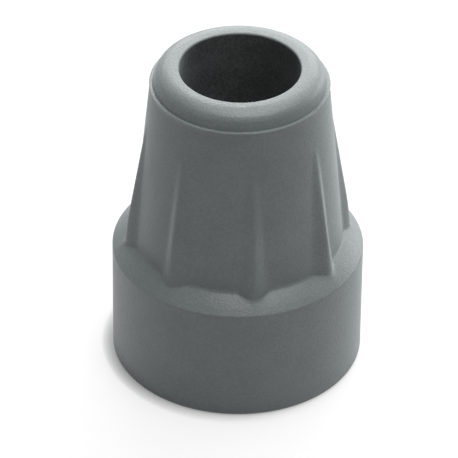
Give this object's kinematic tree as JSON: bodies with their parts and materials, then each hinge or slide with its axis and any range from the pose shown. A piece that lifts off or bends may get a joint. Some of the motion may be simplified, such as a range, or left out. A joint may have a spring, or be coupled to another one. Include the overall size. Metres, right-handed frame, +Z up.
{
  "type": "rubber cane tip",
  "caption": "Moulded grey rubber tip for the foot of a cane: round base, sloped shoulder and a tapered, ribbed sleeve with a blind round socket for the shaft.",
  "frame": {"origin": "centre of the sole, on the surface that the tip stands on", "axes": "+Z up along the socket and out of its mouth, -Y through the ridge of a rib, +X to the right seen from -Y"},
  "size_m": [0.04, 0.04, 0.0532],
  "materials": {
    "grey_rubber": "matte moulded"
  },
  "bodies": {
    "root": {"cane_tip": "grey_rubber"}
  },
  "joints": []
}
